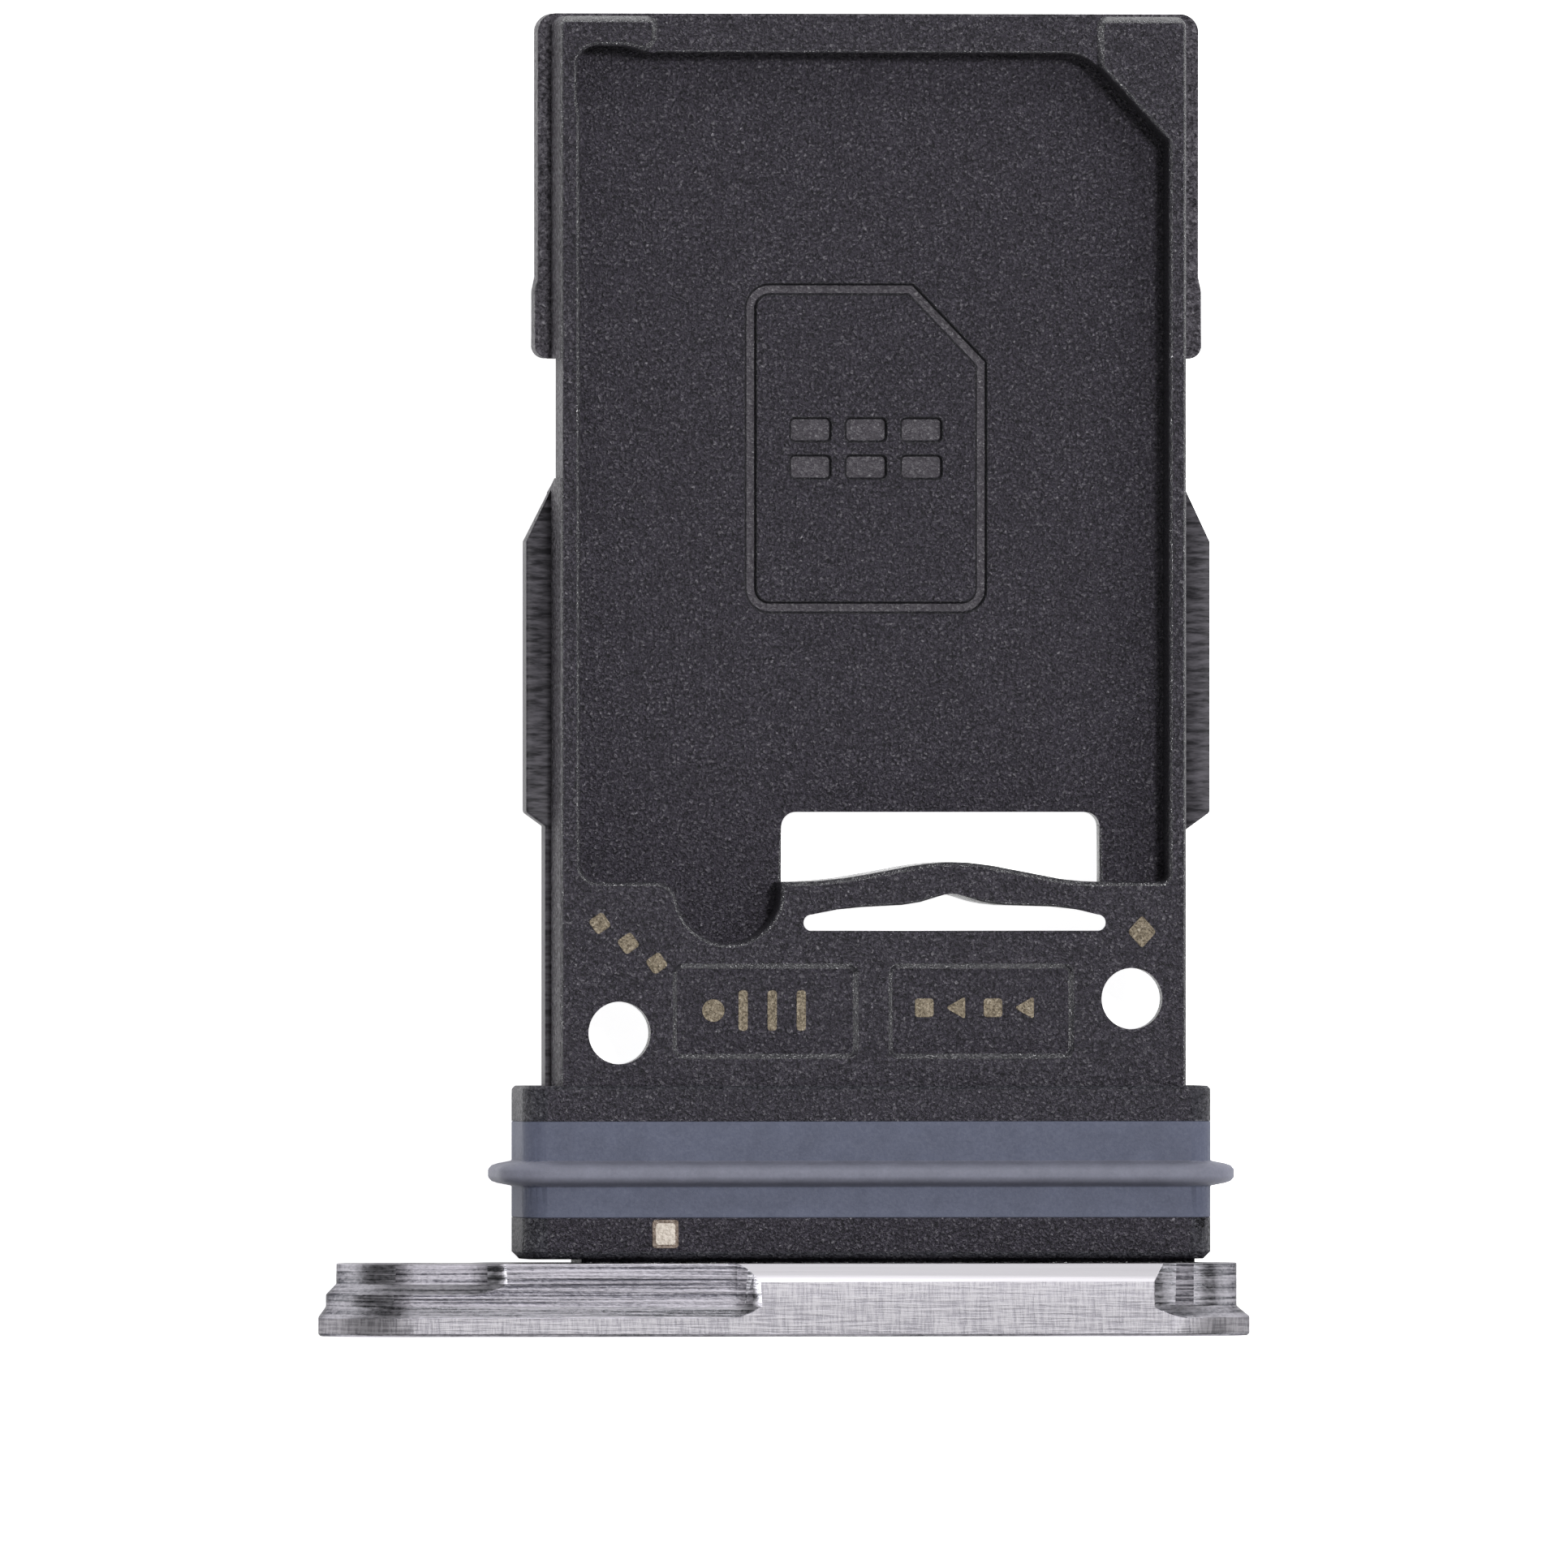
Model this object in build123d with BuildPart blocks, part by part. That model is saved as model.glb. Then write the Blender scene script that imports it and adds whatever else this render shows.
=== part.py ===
from build123d import *
import math
import os

# A double-sided tray for two nano cards: a machined face plate, a moulded tray and a silicone seal.
# The tray lies flat. X runs along the face plate, Y is the direction of insertion and Z is up.
# The origin is the centre of the plate's outer face, on the parting plane of the moulding.
# All sizes are in millimetres.

# The card that the pocket is made for
card_width = 8.8
card_length = 12.3
card_thickness = 0.67
card_side_clearance = 0.05
card_end_clearance = 0.14
card_depth_clearance = 0.03

# Face plate
plate_length = 14.08
plate_width = 2.72
plate_thickness = 1.10
plate_edge_break = 0.035
bevel_height = 0.28
bevel_depth = 0.105
eject_hole_diameter = 1.11
eject_hole_from_end = 1.24
eject_hole_edge_break = 0.06
tongue_width = 7.0
tongue_thickness = 0.7
tongue_reach = 2.0

# Milled steps round the ends of the face plate
cutter_radius = 1.05
step_slope = 0.16
outer_step_foot = 0.29
outer_step_depth = 0.113
outer_step_length = 6.51
inner_step_foot = 0.63
inner_step_depth = 0.156
inner_step_length = 2.68
far_step_foot = 0.29
far_step_depth = 0.195
far_step_angle = 10.5

# Neck with its seal groove
neck_x = 1.16
neck_overhang = 0.48
neck_height = 1.96
neck_length = 2.60
neck_corner = 0.35
neck_foot_edge_break = 0.11
neck_top_edge_break = 0.05
base_gap = 0.06
base_pad_width = 9.28
base_pad_shift = 0.33
base_pad_height = 1.3
groove_from_neck_foot = 0.62
groove_width = 1.45
groove_depth = 0.30

# Seal ring
lip_from_band_edge = 0.665
lip_height = 0.355
lip_root_width = 0.38
lip_shoulder_height = 0.21
lip_shoulder_width = 0.30
lip_crown_height = 0.30
lip_crown_width = 0.24
lip_tip_width = 0.12

# Tray body
tray_x = 1.24
tray_height = 1.76
tray_draft = 6.5
tray_corner = 0.16
tray_edge_radius = 0.05
land_length = 3.06
tip_wall = 0.60
tip_setback = 0.05
strip_depth = 0.12
left_pad_width = 1.47
right_pad_width = 1.33
pad_corner = 0.14
pad_side_slope = 38
pad_foot_run = 0.15
pad_foot_rise = 0.18
side_wall = 0.28
pocket_x_shift = 0.02
pocket_chamfer_x = 1.22
pocket_chamfer_y = 1.31
pocket_chamfer_bend = 0.8
pocket_corner = 0.12
pocket_near_corner = 0.28
pocket_rim_radius = 0.07
relief_width = 0.67
relief_run = 0.42
relief_rise = 0.10
relief_corner = 0.3
side_relief_depth = 0.04
side_relief_length = 0.70
side_relief_slope = 0.2

# Guide rails on the parting plane, given as how far they stand out from the body's sides
rail_thickness = 0.5
rail_tip_corner = 0.28
bump_corner = 0.2
upper_rail_overhang = 0.27
upper_rail_length = 5.18
bump_overhang = 0.315
bump_length = 1.01
bump_slope = 0.22
notch_inset = 0.01
notch_shift = 0.02
notch_undercut = 0.23
lower_rail_overhang = 0.445
lower_rail_from_pocket_end = 1.045
lower_rail_length = 4.065
lower_rail_slope = 0.95
lower_rail_run_out = 0.33
side_flange_overhang = 0.11
side_flange_shift = -0.05

# Finger notch at the end of the pocket
finger_radius = 0.79
finger_from_pocket_side = 2.24
finger_below_pocket_end = 0.137
finger_blend = 0.33

# Spring arm between its window and its slot. The slot's shoulder lifts are parts of its whole rise.
window_width = 4.82
window_height = 1.05
window_from_pocket_side = 3.12
window_corner = 0.22
arm_thickness = 0.476
arm_rise = 0.30
arm_shoulder_rise = 0.11
arm_shoulder_run = 1.3
arm_peak_from_left_root = 2.5
slot_height = 0.245
slot_drop = 0.735
slot_end_inset = 0.25
slot_shoulder_run = 0.85
slot_peak_run = 0.35
slot_peak_drop = 0.09
slot_left_shoulder_lift = 0.35
slot_right_shoulder_lift = 0.40
slot_undercut = 0.24

# Round holes and shallow recesses below the pocket
left_hole_diameter = 0.94
left_hole_from_centre = 3.84
left_hole_from_pocket_end = 2.265
right_hole_diameter = 0.92
right_hole_from_centre = 3.91
right_hole_from_pocket_end = 1.753
hole_land = 0.30
hole_flare = 0.20
recess_width = 2.81
recess_height = 1.43
recess_depth = 0.12
recess_corner = 0.15
recess_wall_slope = 32
recess_from_pocket_end = 1.94
recess_from_centre = 1.63

# Engraved outline of a card on the pocket floor, with bars for the card's contacts
outline_width = 3.65
outline_height = 4.94
outline_line = 0.16
outline_depth = 0.06
outline_corner = 0.37
outline_chamfer_x = 1.11
outline_chamfer_y = 1.16
outline_from_pocket_side = 2.58
outline_from_pocket_top = 3.46
contact_width = 0.62
contact_height = 0.36
contact_corner = 0.08
contact_pitch_x = 0.84
contact_pitch_y = 0.56

# Places that follow from the sizes above
plate_radius = plate_width / 2
plate_end_centre = plate_length / 2 - plate_radius
neck_foot = plate_thickness + base_gap
neck_top = neck_foot + neck_length
seal_foot = neck_foot + groove_from_neck_foot
pocket_end = neck_top + land_length
pocket_length = card_length + card_end_clearance
pocket_top = pocket_end + pocket_length
pocket_width = card_width + 2 * card_side_clearance
tray_width = pocket_width + 2 * side_wall
neck_width = tray_width + 2 * neck_overhang
notch_reach = tray_width / 2 - notch_inset
lower_rail_reach = tray_width / 2 + lower_rail_overhang
notch_start = pocket_end + lower_rail_from_pocket_end + lower_rail_length + lower_rail_slope
notch_end = pocket_top + tip_wall - upper_rail_length
pocket_left = tray_x + pocket_x_shift - pocket_width / 2
pocket_right = pocket_left + pocket_width
tip = pocket_top + tip_wall
tray_top = tray_height / 2
floor_level = tray_top - card_thickness - card_depth_clearance
strip_level = tray_top - strip_depth
tray_end = tip - tip_setback
tray_foot_width = tray_width + 2 * tray_top * math.tan(math.radians(tray_draft))
arm_left = pocket_left + window_from_pocket_side
arm_right = arm_left + window_width
arm_peak_x = arm_left + arm_peak_from_left_root
finger_x = pocket_left + finger_from_pocket_side
finger_y = pocket_end - finger_below_pocket_end
recess_y = pocket_end - recess_from_pocket_end
outline_x = pocket_left + outline_from_pocket_side
outline_top = pocket_top - outline_from_pocket_top


def cross_plane(y):
    """The plane across the tray at a given Y; a negative extrusion runs towards the tip."""
    return Plane.XZ.offset(-y)


def mirrored_section(points):
    """A closed profile in the (Y, Z) plane and its mirror image below the parting plane."""
    with BuildSketch(Plane.YZ) as section:
        with BuildLine():
            Polyline(*points, close=True)
        make_face()
        mirror(about=Plane.XZ)
    return section.sketch


def run_out(depth):
    """How far a cutter's round side reaches past its centre when it cuts to a given depth."""
    return math.sqrt(depth * (2 * cutter_radius - depth))


def milled_step(foot, rim_radius, depth, straight, start_angle):
    """The space that a cutter clears round the plate's right end, with that end's centre at X = 0.

    The cutter comes in along the edge from X = -straight, or at an angle past the end of the edge,
    and leaves a sloped foot of the same height everywhere and a hollow where it runs out.
    """
    wall_radius = rim_radius - depth
    outside = wall_radius + cutter_radius
    top = plate_thickness + cutter_radius
    section = [(foot, rim_radius), (foot + step_slope, wall_radius), (top, wall_radius),
               (top, outside), (foot, outside)]
    cutter = Vector(-straight, 0, outside).rotate(Axis.Y, start_angle)
    cutter_places = [(cutter.X, foot, cutter.Z), (cutter.X, foot, -cutter.Z)]
    shank_places = [(x, y + step_slope, z) for x, y, z in cutter_places]
    upright = (Align.CENTER, Align.CENTER, Align.MIN)
    with BuildPart() as cleared:
        with BuildSketch(Plane.YZ.rotated((0, start_angle, 0))):
            with BuildLine():
                Polyline(*section, close=True)
            make_face()
        revolve(axis=Axis.Y, revolution_arc=180 - 2 * start_angle)
        if straight:
            extrude(mirrored_section(section), amount=-straight)
        with Locations(*cutter_places):
            Cone(cutter_radius - depth, cutter_radius, step_slope, rotation=(-90, 0, 0), align=upright)
        with Locations(*shank_places):
            Cylinder(cutter_radius, top - foot, rotation=(-90, 0, 0), align=upright)
    return cleared.part


def rail_outline():
    """Outline of the rails on the parting plane, from the tip down to the neck."""
    upper_reach = tray_width / 2 + upper_rail_overhang
    bump_reach = tray_width / 2 + bump_overhang
    flange_reach = tray_width / 2 + side_flange_overhang
    lower_end = pocket_end + lower_rail_from_pocket_end
    lower_start = lower_end + lower_rail_length
    with BuildSketch(Plane((tray_x, 0, 0))) as outline:
        with BuildLine():
            Polyline(
                (0, tip),
                (upper_reach, tip),
                (upper_reach, notch_end + bump_length + bump_slope),
                (bump_reach, notch_end + bump_length),
                (bump_reach, notch_end),
                (notch_reach, notch_end),
                (notch_reach, notch_start),
                (lower_rail_reach, lower_start),
                (lower_rail_reach, lower_end),
                (notch_reach, lower_end - lower_rail_run_out),
                (notch_reach, neck_top),
                (0, neck_top),
            )
            mirror(about=Plane.YZ)
        make_face()
        with Locations((side_flange_shift, neck_top)):
            Rectangle(2 * flange_reach, lower_end - neck_top, align=(Align.CENTER, Align.MIN))
        for side in (-1, 1):
            fillet(outline.vertices().sort_by_distance((side * upper_reach, tip))[0], rail_tip_corner)
            fillet(outline.vertices().sort_by_distance((side * bump_reach, notch_end))[0], bump_corner)
    return outline.sketch


def notch_corner(side, level, undercut):
    """What the detent notch clears beside the sloped start of a lower rail."""
    reach = notch_reach - undercut
    with BuildSketch(Plane((tray_x, 0, level))) as corner:
        Polygon((side * reach, notch_start), (side * lower_rail_reach, notch_start),
                (side * lower_rail_reach, notch_start - lower_rail_slope), align=None)
    return corner.sketch


def arm_edge():
    """The edge of the spring arm that faces the card, from its left root to its right root."""
    shoulder_y = pocket_end + arm_shoulder_rise
    return Spline(
        (arm_left, pocket_end),
        (arm_peak_x - arm_shoulder_run, shoulder_y),
        (arm_peak_x, pocket_end + arm_rise),
        (arm_peak_x + arm_shoulder_run, shoulder_y),
        (arm_right, pocket_end),
        tangents=((1, 0), (1, 0)),
    )


def pocket_outline(level):
    """The card pocket with its cut corner, corner relief and finger notch, less the arm's bulge."""
    chamfer_end = (pocket_right, pocket_top - pocket_chamfer_y)
    chamfer_start = (pocket_right - pocket_chamfer_x, pocket_top)
    relief_foot = (pocket_left + relief_width + relief_run, pocket_top)
    relief_end = (pocket_left + relief_width, pocket_top + relief_rise)
    relief_left = pocket_left - side_relief_depth
    relief_start = (relief_left, pocket_top + relief_rise)
    side_relief_foot = (relief_left, pocket_top - side_relief_length)
    side_relief_end = (pocket_left, pocket_top - side_relief_length - side_relief_slope)
    near_left = (pocket_left, pocket_end)
    near_right = (pocket_right, pocket_end)
    rounded = [
        (near_left, pocket_near_corner), (near_right, pocket_corner), (chamfer_end, pocket_corner),
        (chamfer_start, pocket_chamfer_bend), (relief_foot, pocket_chamfer_bend),
        (relief_end, pocket_chamfer_bend), (relief_start, relief_corner),
        (side_relief_foot, pocket_chamfer_bend), (side_relief_end, pocket_chamfer_bend),
    ]
    with BuildSketch(Plane.XY.offset(level)) as outline:
        with BuildLine():
            Polyline(*[point for point, _ in rounded], close=True)
        make_face()
        for point, radius in rounded:
            fillet(outline.vertices().sort_by_distance(point)[0], radius)
        with Locations((finger_x, finger_y)):
            Circle(finger_radius)
        mouth = finger_x - math.sqrt(finger_radius**2 - finger_below_pocket_end**2)
        fillet(outline.vertices().sort_by_distance((mouth, pocket_end))[0], finger_blend)
        with BuildLine():
            arm_edge()
            Polyline((arm_right, pocket_end), (arm_right, pocket_end - arm_thickness),
                     (arm_left, pocket_end - arm_thickness), (arm_left, pocket_end))
        make_face(mode=Mode.SUBTRACT)
    return outline.sketch


def slot_outline(level, undercut):
    """The slot behind the spring arm; the undercut lengthens it at its right end."""
    left = arm_left + slot_end_inset
    right = arm_right + undercut
    bottom = pocket_end - slot_drop
    inset = slot_height / 2
    foot = bottom + slot_height
    peak_y = pocket_end + arm_rise - arm_thickness
    rise = peak_y - foot
    with BuildSketch(Plane.XY.offset(level)) as outline:
        with BuildLine():
            Spline((left + inset, foot),
                   (left + slot_shoulder_run, foot + slot_left_shoulder_lift * rise),
                   (arm_peak_x - slot_peak_run, peak_y - slot_peak_drop), (arm_peak_x, peak_y),
                   (arm_peak_x + slot_peak_run, peak_y - slot_peak_drop),
                   (arm_right - slot_shoulder_run, foot + slot_right_shoulder_lift * rise),
                   (right - inset, foot))
            ThreePointArc((right - inset, foot), (right, bottom + inset), (right - inset, bottom))
            Line((right - inset, bottom), (left + inset, bottom))
            ThreePointArc((left + inset, bottom), (left, bottom + inset), (left + inset, foot))
        make_face()
    return outline.sketch


def card_outline(inset):
    """The outline of a small card with one cut corner on the pocket floor, shrunk by an inset."""
    right = outline_x + outline_width
    bottom = outline_top - outline_height
    with BuildSketch(Plane.XY.offset(floor_level)) as outline:
        with BuildLine():
            Polyline((outline_x, bottom), (right, bottom), (right, outline_top - outline_chamfer_y),
                     (right - outline_chamfer_x, outline_top), (outline_x, outline_top), close=True)
        make_face()
        for point in ((outline_x, bottom), (right, bottom), (outline_x, outline_top)):
            fillet(outline.vertices().sort_by_distance(point)[0], outline_corner)
        if inset:
            offset(amount=-inset, mode=Mode.REPLACE)
    return outline.sketch


def neck_section(y, inset):
    """The neck's rounded rectangle at a given Y, shrunk by an inset."""
    with BuildSketch(cross_plane(y)) as section:
        with Locations((neck_x, 0)):
            RectangleRounded(neck_width - 2 * inset, neck_height - 2 * inset, neck_corner - inset)
    return section.sketch


with BuildPart() as face_plate:
    with BuildSketch(cross_plane(0)):
        SlotOverall(plate_length, plate_width)
    extrude(amount=-plate_thickness)
    chamfer(face_plate.faces().sort_by(Axis.Y)[0].edges(), plate_edge_break)
    bevel = [(plate_thickness, plate_radius - bevel_depth), (plate_thickness, plate_radius),
             (plate_thickness - bevel_height, plate_radius)]
    extrude(mirrored_section(bevel), amount=plate_end_centre, both=True, mode=Mode.SUBTRACT)
    outer_step = milled_step(outer_step_foot, plate_radius, outer_step_depth,
                             outer_step_length - plate_radius - run_out(outer_step_depth), 0)
    inner_step = milled_step(inner_step_foot, plate_radius - outer_step_depth, inner_step_depth,
                             inner_step_length - plate_radius - run_out(inner_step_depth), 0)
    far_step = milled_step(far_step_foot, plate_radius, far_step_depth, 0, far_step_angle)
    with Locations((-plate_end_centre, 0)):
        for near_step in (outer_step, inner_step):
            add(near_step.mirror(Plane.YZ), mode=Mode.SUBTRACT)
    with Locations((plate_end_centre, 0)):
        add(far_step, mode=Mode.SUBTRACT)
    with BuildSketch(cross_plane(plate_thickness)):
        with Locations((neck_x, 0)):
            Rectangle(tongue_width, tongue_thickness)
    extrude(amount=-tongue_reach)
    with BuildSketch(cross_plane(0)):
        with Locations((eject_hole_from_end - plate_length / 2, 0)):
            Circle(eject_hole_diameter / 2)
    extrude(amount=-plate_thickness, mode=Mode.SUBTRACT)
    hole_rims = face_plate.edges().filter_by(lambda e: e.is_closed and e.geom_type == GeomType.CIRCLE)
    chamfer(hole_rims.sort_by(Axis.Y)[0], eject_hole_edge_break)

with BuildPart() as neck:
    extrude(neck_section(neck_foot, 0), amount=-neck_length)
    neck_ends = neck.faces().sort_by(Axis.Y)
    chamfer(neck_ends[0].edges(), neck_foot_edge_break)
    chamfer(neck_ends[-1].edges(), neck_top_edge_break)
    with BuildSketch(cross_plane(seal_foot)) as groove:
        with Locations((neck_x, 0)):
            Rectangle(2 * neck_width, 2 * neck_height)
        add(neck_section(0, groove_depth), mode=Mode.SUBTRACT)
    extrude(amount=-groove_width, mode=Mode.SUBTRACT)
    with BuildSketch(cross_plane(plate_thickness)):
        with Locations((neck_x + base_pad_shift, 0)):
            Rectangle(base_pad_width, base_pad_height)
    extrude(amount=-base_gap)

with BuildPart() as tray_body:
    # The raised body above the parting plane, with the corner pads and the lower strip between them
    with BuildSketch(cross_plane(neck_top)):
        with Locations((tray_x, 0)):
            Polygon((-tray_foot_width / 2, 0), (tray_foot_width / 2, 0),
                    (tray_width / 2, tray_top), (-tray_width / 2, tray_top), align=None)
    extrude(amount=neck_top - tray_end)
    fillet(tray_body.faces().sort_by(Axis.Y)[-1].edges().filter_by(Axis.X, reverse=True), tray_corner)
    top_edges = tray_body.faces().sort_by(Axis.Z)[-1].edges()
    fillet(top_edges.sort_by(Axis.Y)[1:], tray_edge_radius)
    extrude(rail_outline(), amount=rail_thickness / 2)
    extrude(pocket_outline(floor_level), amount=tray_height, mode=Mode.SUBTRACT)
    fillet(tray_body.faces().sort_by(Axis.Z)[-1].inner_wires()[0].edges(), pocket_rim_radius)
    with BuildSketch(Plane.XY.offset(strip_level)) as strip:
        left = tray_x - tray_width / 2 + left_pad_width
        right = tray_x + tray_width / 2 - right_pad_width
        foot = pocket_top - pocket_chamfer_y / 2
        with BuildLine():
            Polyline((left, tray_end), (left, pocket_top + pad_foot_rise),
                     (left - pad_foot_run, pocket_top), (left - pad_foot_run, foot),
                     (right, foot), (right, tray_end), close=True)
        make_face()
        with Locations((tray_x, tray_end)):
            Rectangle(tray_foot_width, tray_end - pocket_top, align=(Align.CENTER, Align.MIN))
        for x in (left, right):
            fillet(strip.vertices().sort_by_distance((x, tray_end))[0], pad_corner)
        fillet(strip.vertices().sort_by_distance((left, pocket_top + pad_foot_rise))[0], pad_foot_rise)
    extrude(amount=strip_depth, taper=-pad_side_slope, mode=Mode.SUBTRACT)
    mirror(about=Plane.XY)
    add(neck.part)

    # Detent notch in the side walls, which leans inwards below the parting plane
    with BuildSketch(cross_plane(notch_start)) as notch:
        for side in (-1, 1):
            with Locations((tray_x + notch_shift, 0)):
                Polygon((side * notch_reach, tray_height), (side * notch_reach, 0),
                        (side * (notch_reach - notch_undercut), -tray_height),
                        (side * tray_width, -tray_height), (side * tray_width, tray_height), align=None)
    extrude(amount=notch_start - notch_end, mode=Mode.SUBTRACT)
    for side in (-1, 1):
        parting_corner = notch_corner(side, 0, 0)
        extrude(parting_corner, amount=tray_height, mode=Mode.SUBTRACT)
        loft([parting_corner, notch_corner(side, -tray_height, notch_undercut)], mode=Mode.SUBTRACT)

    # The window in the pocket floor and the slot that free the spring arm
    with BuildSketch() as window:
        with BuildLine():
            arm_edge()
            Polyline((arm_right, pocket_end), (arm_right, pocket_end + window_height),
                     (arm_left, pocket_end + window_height), (arm_left, pocket_end))
        make_face()
        fillet(window.vertices().group_by(Axis.Y)[-1], window_corner)
    extrude(amount=tray_top / 2, both=True, mode=Mode.SUBTRACT)
    loft([slot_outline(tray_top, 0), slot_outline(-tray_top, slot_undercut)], mode=Mode.SUBTRACT)

    # Round holes, straight at the top and flared below
    holes = (
        (tray_x - left_hole_from_centre, pocket_end - left_hole_from_pocket_end, left_hole_diameter / 2),
        (tray_x + right_hole_from_centre, pocket_end - right_hole_from_pocket_end, right_hole_diameter / 2),
    )
    for x, y, radius in holes:
        with BuildSketch(Plane.XY.offset(tray_top)) as land:
            with Locations((x, y)):
                Circle(radius)
        extrude(land.sketch, amount=-hole_land, mode=Mode.SUBTRACT)
        with Locations((x, y, tray_top - hole_land)):
            Cone(radius + hole_flare, radius, tray_height - hole_land,
                 align=(Align.CENTER, Align.CENTER, Align.MAX), mode=Mode.SUBTRACT)

    # Recesses beside the holes, and the engraved card on the pocket floor
    with BuildSketch(Plane.XY.offset(tray_top)) as recesses:
        for x in (tray_x - recess_from_centre, tray_x + recess_from_centre):
            with Locations((x, recess_y)):
                RectangleRounded(recess_width, recess_height, recess_corner)
    extrude(amount=-recess_depth, taper=recess_wall_slope, mode=Mode.SUBTRACT)
    with BuildSketch(Plane.XY.offset(floor_level)) as engraving:
        add(card_outline(0))
        add(card_outline(outline_line), mode=Mode.SUBTRACT)
        with Locations((outline_x + outline_width / 2, outline_top - outline_height / 2)):
            with GridLocations(contact_pitch_x, contact_pitch_y, 3, 2):
                RectangleRounded(contact_width, contact_height, contact_corner)
    extrude(amount=-outline_depth, mode=Mode.SUBTRACT)

    # The space that the plate's tongue fills
    with BuildSketch(cross_plane(plate_thickness)):
        with Locations((neck_x, 0)):
            Rectangle(tongue_width, tongue_thickness)
    extrude(amount=-tongue_reach, mode=Mode.SUBTRACT)

lip_y = seal_foot + lip_from_band_edge
with BuildPart() as seal_ring:
    with BuildSketch(cross_plane(seal_foot)) as band:
        add(neck_section(0, 0))
        add(neck_section(0, groove_depth), mode=Mode.SUBTRACT)
    extrude(amount=-groove_width)
    half_width = neck_width / 2
    half_height = neck_height / 2
    with BuildLine(Plane((neck_x, lip_y, 0), x_dir=(1, 0, 0), z_dir=(0, -1, 0))) as lip_path:
        FilletPolyline((0, half_height), (half_width, half_height), (half_width, -half_height),
                       (0, -half_height), radius=neck_corner)
    with BuildSketch(Plane((neck_x, lip_y, half_height), x_dir=(0, 1, 0), z_dir=(1, 0, 0))):
        with BuildLine():
            Polyline((0, -groove_depth / 2), (lip_root_width / 2, -groove_depth / 2),
                     (lip_root_width / 2, 0), (lip_shoulder_width / 2, lip_shoulder_height),
                     (lip_crown_width / 2, lip_crown_height), (lip_tip_width / 2, lip_height),
                     (0, lip_height))
            mirror(about=Plane.YZ)
        make_face()
    sweep(path=lip_path.wires()[0])
    split(bisect_by=Plane((neck_x, 0, 0), x_dir=(0, 1, 0), z_dir=(1, 0, 0)))
    mirror(about=Plane((neck_x, 0, 0), x_dir=(0, 1, 0), z_dir=(1, 0, 0)))

os.makedirs("parts", exist_ok=True)
face_plate.part.label = "face_plate"
tray_body.part.label = "tray_body"
seal_ring.part.label = "seal_ring"
export_step(face_plate.part, "parts/face_plate.step")
export_step(tray_body.part, "parts/tray_body.step")
export_step(seal_ring.part, "parts/seal_ring.step")
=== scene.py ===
import math

import bmesh
import bpy
from mathutils import Matrix, Vector


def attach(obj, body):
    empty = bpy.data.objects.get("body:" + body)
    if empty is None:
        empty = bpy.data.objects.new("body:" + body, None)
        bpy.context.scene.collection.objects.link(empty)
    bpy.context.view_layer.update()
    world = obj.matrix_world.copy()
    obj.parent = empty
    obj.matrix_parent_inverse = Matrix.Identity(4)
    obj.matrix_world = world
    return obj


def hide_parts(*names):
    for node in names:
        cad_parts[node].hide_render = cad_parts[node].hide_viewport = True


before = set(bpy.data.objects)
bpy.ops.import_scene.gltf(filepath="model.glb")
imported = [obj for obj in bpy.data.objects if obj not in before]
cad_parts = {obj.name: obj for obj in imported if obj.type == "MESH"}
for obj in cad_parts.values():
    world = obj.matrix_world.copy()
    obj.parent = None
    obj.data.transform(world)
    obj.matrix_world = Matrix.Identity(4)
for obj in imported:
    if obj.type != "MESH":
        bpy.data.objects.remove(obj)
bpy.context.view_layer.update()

MM = 0.001

# Places on the tray, in millimetres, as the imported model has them
TRAY_X = 1.24
TRAY_TOP = 0.88
BODY_HALF_WIDTH = 4.73
SIDE_WALL = 0.13
RECESS_FLOOR = 0.76
RAIL_TOP = 0.25
UPPER_RAILS_FROM = 13.5
POCKET_FLOOR = 0.18
ENGRAVED_FLOOR = 0.12
OUTLINE_START = 9.6
NECK_X = 1.16
NECK_TOP = 3.76
NECK_FLAT_HALF = 4.87
NECK_SURFACE = 0.98
SEAL_FLAT_HALF = 5.22
PLATE_RADIUS = 1.36
PLATE_END_CENTRE = 5.68
PLATE_BEVEL_FROM = 0.8

# How far edges are eased, and the rim that slopes down round the engraved outline's floor. The
# rim sinks as far as it is wide, because a flatter one would be shaded as part of the floor.
TRAY_EASE = 0.035
PLATE_EASE = 0.012
SEAL_EASE = 0.02
OUTLINE_EASE = 0.0175
OUTLINE_RIM = 0.024
OUTLINE_SINK = 0.024

# The room that an eased edge needs in the faces beside it and at its ends, in shares of its radius
ROOM_BESIDE = 1.8
ROOM_AT_ENDS = 0.57

# Angles between faces: joined below the first, eased above the second, shaded as sharp above
# the third
FLAT_ANGLE = math.radians(1.0)
EASED_ANGLE = math.radians(32.0)
SHARP_ANGLE = math.radians(40.0)
MERGE_DISTANCE = 0.0005

# Distances, in millimetres, that count as at a place, on a rail's flat and at a height
NEAR = 0.01
ON_FLAT = 0.005
AT_HEIGHT = 0.001

# Parts of a face's normal along an axis, from facing that way to standing upright to it
LEVEL = 0.985
NEARLY_LEVEL = 0.95
FACING = 0.9
STEEP = 0.6
LEANING = 0.3
SLIGHT = 0.2
UPRIGHT = 0.1

# Flat marks, in millimetres, and the number of corners from which one counts as round
MARK_HEIGHT = 0.012
MARK_CORNER = 0.05
ROUND_CORNERS = 12

# What a Depth of 1 stands for, in metres, and the scale of the soft patches against the grain's
GRAIN_RELIEF = 0.06 * MM
CUT_RELIEF = 0.01 * MM
PATCH_SCALE = 0.12

# The Mix node's colour sockets share their names with its other sockets, so they go by place
MIX_FIRST = 6
MIX_SECOND = 7
MIX_RESULT = 2

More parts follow.
